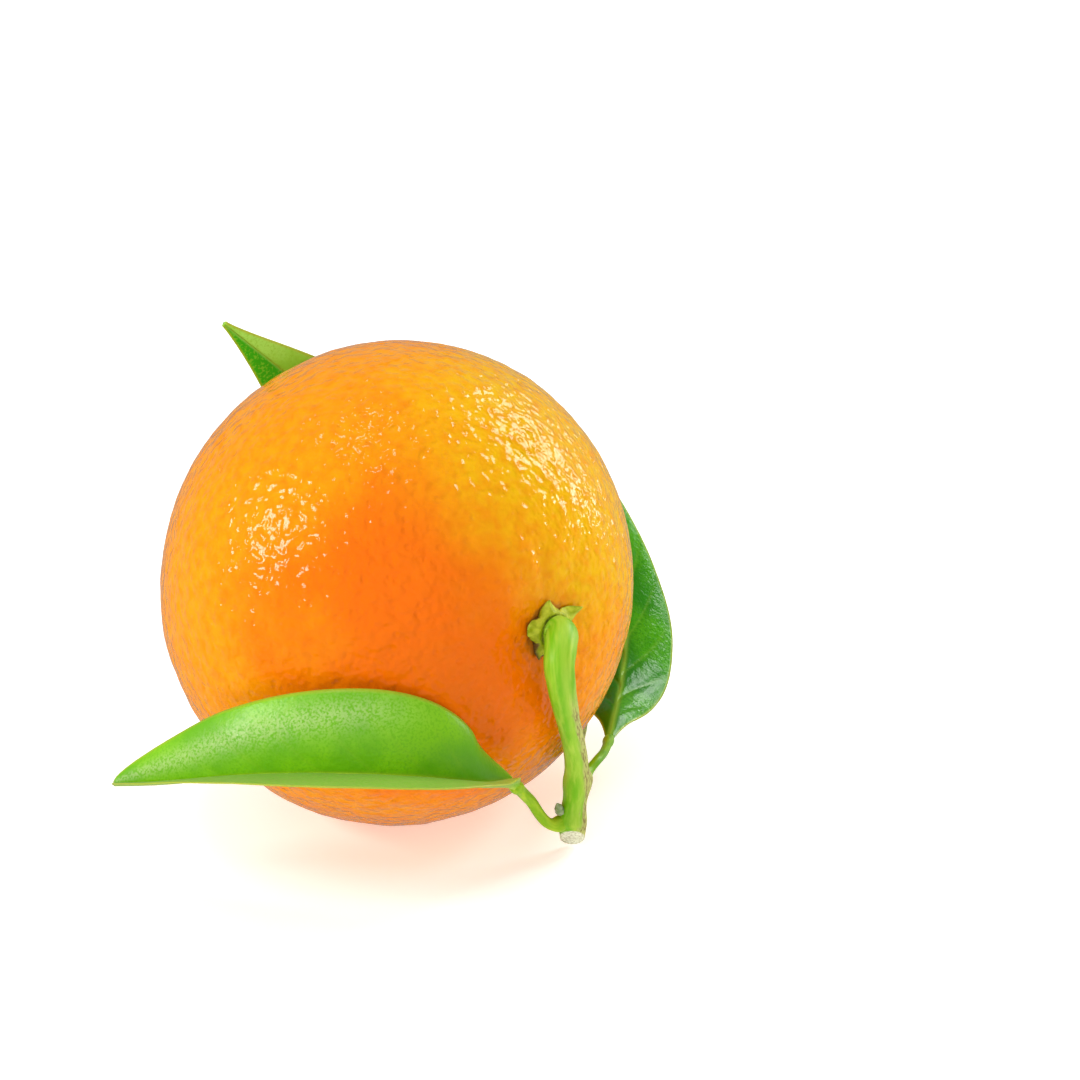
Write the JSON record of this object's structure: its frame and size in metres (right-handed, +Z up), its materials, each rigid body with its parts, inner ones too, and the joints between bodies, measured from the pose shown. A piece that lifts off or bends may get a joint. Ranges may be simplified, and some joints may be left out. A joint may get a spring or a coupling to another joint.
{
  "type": "tangerine with twig and leaves",
  "caption": "Whole ripe citrus fruit lying on its side, with its star-shaped calyx, a short cut green twig and glossy leaves that curl around it.",
  "frame": {"origin": "middle of the small flattened patch of skin that the fruit rests on, on the surface below", "axes": "+Z up; the calyx and twig face the front right, halfway between +X and -Y; the left leaf runs towards -X along the front"},
  "size_m": [0.0754, 0.0858, 0.065],
  "materials": {
    "orange_peel": "waxy, finely pitted citrus peel",
    "calyx_green": "matt yellow-green",
    "green_bark": "young green bark, half matt",
    "petiole_green": "smooth yellow-green",
    "leaf_green": "glossy green leaf",
    "bud_green": "matt grey-green"
  },
  "bodies": {
    "root": {"fruit": "orange_peel", "calyx": "calyx_green", "twig": "green_bark", "side_shoot": "green_bark", "left_petiole": "petiole_green", "right_petiole": "petiole_green", "back_petiole": "petiole_green", "left_leaf": "leaf_green", "right_leaf": "leaf_green", "back_leaf": "leaf_green", "axillary_bud": "bud_green", "tip_bud": "bud_green"}
  },
  "joints": []
}
